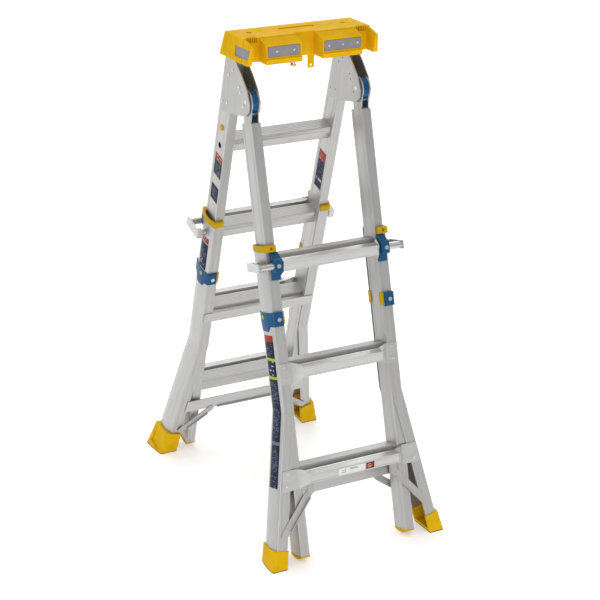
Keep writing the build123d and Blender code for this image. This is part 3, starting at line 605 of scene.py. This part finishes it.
def rail_label(name, node, place, side, inward, span, depth, seed, bands):
    """Label on a side face of a rail; side is -1 or 1 in the section's own frame."""
    (s0, s1), (y0, y1) = span, depth
    body = node.split("_rail")[0]
    start = side * (IN_RAIL if inward else WEB_FAR)
    toward = (side if inward else -side, 0, 0)
    cells = [max(FEWEST_CELLS, round(size / CELL)) for size in (y1 - y0, s1 - s0)]
    across, up = (0, y1 - y0, 0), (0, 0, s1 - s0)
    sticker(name, body, node, place, (start, y0, s0), across, up, toward, cells, Print(seed, bands))


def rung_label(name, left, foot, width, height, cells, seed, bands):
    """Label on the front of the lowest outer rung."""
    corner, across, up = (left, RUNG_START, foot), (width, 0, 0), (0, 0, height)
    look = Print(seed, bands)
    sticker(name, "front_outer", "front_outer_rung_1", FRONT, corner, across, up, (0, 1, 0), cells, look)


def make_labels():
    rail_label(
        "label_rear_inner_left_top", "rear_inner_rail_left", REAR, side=1, inward=False,
        span=(1.067, 1.1385), depth=(0.011, 0.0585), seed=3,
        bands=[band(0.72, NAVY_INK, PALE_INK, 26), band(1.0, RED_INK, WHITE_INK, 34)],
    )
    rail_label(
        "label_rear_inner_left_low", "rear_inner_rail_left", REAR, side=1, inward=False,
        span=(0.981, 1.033), depth=(0.010, 0.057), seed=5,
        bands=[band(0.2, NAVY_INK), band(0.82, NAVY_INK, PALE_INK, 14), band(1.0, NAVY_INK)],
    )
    rail_label(
        "label_rear_inner_right", "rear_inner_rail_right", REAR, side=-1, inward=True,
        span=(0.970, 1.0985), depth=(0.0125, 0.0545), seed=8,
        bands=[
            band(0.06, NAVY_INK), band(0.26, NAVY_INK, WHITE_INK, 10),
            band(0.74, NAVY_INK, PALE_INK, 40), band(1.0, RED_INK, WHITE_INK, 34),
        ],
    )
    rail_label(
        "label_rear_outer_left", "rear_outer_rail_left", REAR, side=1, inward=False,
        span=(0.737, 0.852), depth=(0.012, 0.054), seed=12,
        bands=[
            band(0.3, NAVY_INK, WHITE_INK, 30), band(0.8, NAVY_INK, PALE_INK, 44),
            band(0.83, WHITE_INK), band(1.0, RED_INK, WHITE_INK, 40),
        ],
    )
    rail_label(
        "label_front_outer_left", "front_outer_rail_left", FRONT, side=-1, inward=False,
        span=(0.232, 0.668), depth=(0.0, 0.045), seed=21,
        bands=[
            band(0.08, NAVY_INK, PALE_INK, 272), band(0.11, NAVY_INK),
            band(0.25, NAVY_INK, PALE_INK, 272), band(0.28, BLACK_INK),
            band(0.30, PALE_INK), band(0.33, NAVY_INK),
            band(0.52, NAVY_INK, PALE_INK, 272), band(0.55, NAVY_INK),
            band(0.69, NAVY_INK, PALE_INK, 272), band(0.708, BLACK_INK),
            band(0.728, LIME_INK), band(0.83, NAVY_INK, WHITE_INK, 68),
            band(0.848, LIME_INK), band(0.862, BLACK_INK),
            band(0.955, NAVY_INK, PALE_INK, 136), band(1.0, RED_INK),
        ],
    )
    rung_label(
        "label_front_rung_pale", left=-0.053, foot=RUNG_LABEL_FOOT, width=0.086, height=0.021,
        cells=(54, 14), seed=31,
        bands=[band(0.2, SILVER_INK), band(0.85, SILVER_INK, PALE_INK, 14), band(1.0, SILVER_INK)],
    )
    rung_label(
        "label_front_rung_red", left=0.037, foot=RUNG_LABEL_FOOT + 0.001, width=0.027, height=0.019,
        cells=(18, 12), seed=33,
        bands=[band(0.2, BLACK_INK), band(0.8, RED_INK, WHITE_INK, 12), band(1.0, BLACK_INK)],
    )


# ---------------------------------------------------------------- screws, tags and other small pieces
def make_pad_screws():
    spots = [hit("tray_pads", Vector((x, TRAY_START, PAD_MIDDLE)), Vector((0, 1, 0))) for x in PAD_SCREWS]
    screws("pad_screws", "rear_inner", spots, *PAD_SCREW_SIZE, ZINC)


def make_guide_screws():
    for section, place in PLACES.items():
        inward = place.to_3x3() @ Vector((0, 1, 0))
        spots = []
        for side in (-1, 1):
            start = place @ Vector((side * SCREW_X, RUNG_START, GUIDE_HEIGHT))
            spots.append(hit(f"{section}_fasteners", start, inward))
        screws(f"{section}_guide_screws", f"{section}_outer", spots, *GUIDE_SCREW_SIZE, SCREW_RED)


def make_tags():
    """Lime plug on a dark disc of painted shade, seen through the window of each lower clamp."""
    for section, place in PLACES.items():
        placings = []
        for side in (-1, 1):
            word = "right" if (side > 0) == (section == "front") else "left"
            start = place @ Vector((side * WEB_FAR, TAG_Y, CLAMP_HEIGHT))
            inward = place.to_3x3() @ Vector((-side, 0, 0))
            placings.append(frame_at(*hit(f"{section}_outer_rail_{word}", start, inward)))
        spun(f"{section}_clamp_tags", f"{section}_outer", placings, TAG_RINGS, TAG_LIME)
        # Dark disc under each tag: painted shade.
        spun(f"{section}_clamp_shade_discs", f"{section}_outer", placings, SHADE_DISC_RINGS, NAVY)


def make_tray_bolt():
    """Bolt and nut under the wall beside the clip."""
    spun("tray_bolt", "rear_inner", [Matrix.Translation(BOLT_FOOT)], BOLT_RINGS, ZINC)


# ---------------------------------------------------------------- stage, lights, camera
def make_floor():
    bpy.ops.mesh.primitive_plane_add(size=FLOOR_SIZE, location=(0, 0, 0))
    floor = bpy.context.object
    floor.name = "floor"
    n = Nodes("floor_white")
    cloud = n.grain(even(FLOOR_CLOUD), detail=2.0)
    n.set(Base_Color=n.mottle(cloud, shade(*FLOOR_LIGHT), shade(*FLOOR_DARK)))
    n.set(Roughness=0.9, Specular_IOR_Level=0.1)
    n.set(Emission_Color=shade(1, 1, 1), Emission_Strength=FLOOR_GLOW)
    floor.data.materials.append(n.material)


def make_world():
    """White studio, brighter overhead and behind the ladder."""
    world = bpy.data.worlds.new("studio")
    bpy.context.scene.world = world
    world.use_nodes = True
    tree = world.node_tree
    background = tree.nodes["Background"]
    background.inputs["Color"].default_value = shade(1, 1, 1)
    direction = tree.nodes.new("ShaderNodeTexCoord")
    split = tree.nodes.new("ShaderNodeSeparateXYZ")
    height = tree.nodes.new("ShaderNodeMapRange")
    height.inputs["To Min"].default_value = WORLD_SIDE
    height.inputs["To Max"].default_value = WORLD_TOP
    behind = tree.nodes.new("ShaderNodeMapRange")
    behind.interpolation_type = "SMOOTHSTEP"
    behind.inputs["From Min"].default_value = BACK_START
    behind.inputs["From Max"].default_value = BACK_FULL
    behind.inputs["To Max"].default_value = WORLD_BACK
    total = tree.nodes.new("ShaderNodeMath")
    total.operation = "ADD"
    for source, target in (
        (direction.outputs["Generated"], split.inputs[0]),
        (split.outputs["Z"], height.inputs["Value"]),
        (split.outputs["Y"], behind.inputs["Value"]),
        (height.outputs["Result"], total.inputs[0]),
        (behind.outputs["Result"], total.inputs[1]),
        (total.outputs[0], background.inputs["Strength"]),
    ):
        tree.links.new(source, target)


def make_camera():
    data = bpy.data.cameras.new("camera")
    data.lens = CAMERA_LENS
    data.sensor_width = CAMERA_SENSOR
    camera = bpy.data.objects.new("camera", data)
    bpy.context.scene.collection.objects.link(camera)
    camera.location = CAMERA_PLACE
    camera.rotation_euler = CAMERA_LOOK.to_track_quat("-Z", "Y").to_euler()
    bpy.context.scene.camera = camera


def add_area(name, place, target, size, power):
    data = bpy.data.lights.new(name, "AREA")
    data.shape = "RECTANGLE"
    data.size, data.size_y = size
    data.energy = power
    light = bpy.data.objects.new(name, data)
    bpy.context.scene.collection.objects.link(light)
    light.location = place
    light.rotation_euler = (Vector(target) - Vector(place)).to_track_quat("-Z", "Y").to_euler()


for name in NODES:
    dress(name)
    soften(name)
make_labels()
make_pad_screws()
make_guide_screws()
make_tags()
make_tray_bolt()
make_floor()
make_world()
make_camera()
for row in LIGHTS:
    add_area(*row)
bpy.context.scene.view_settings.view_transform = "Standard"
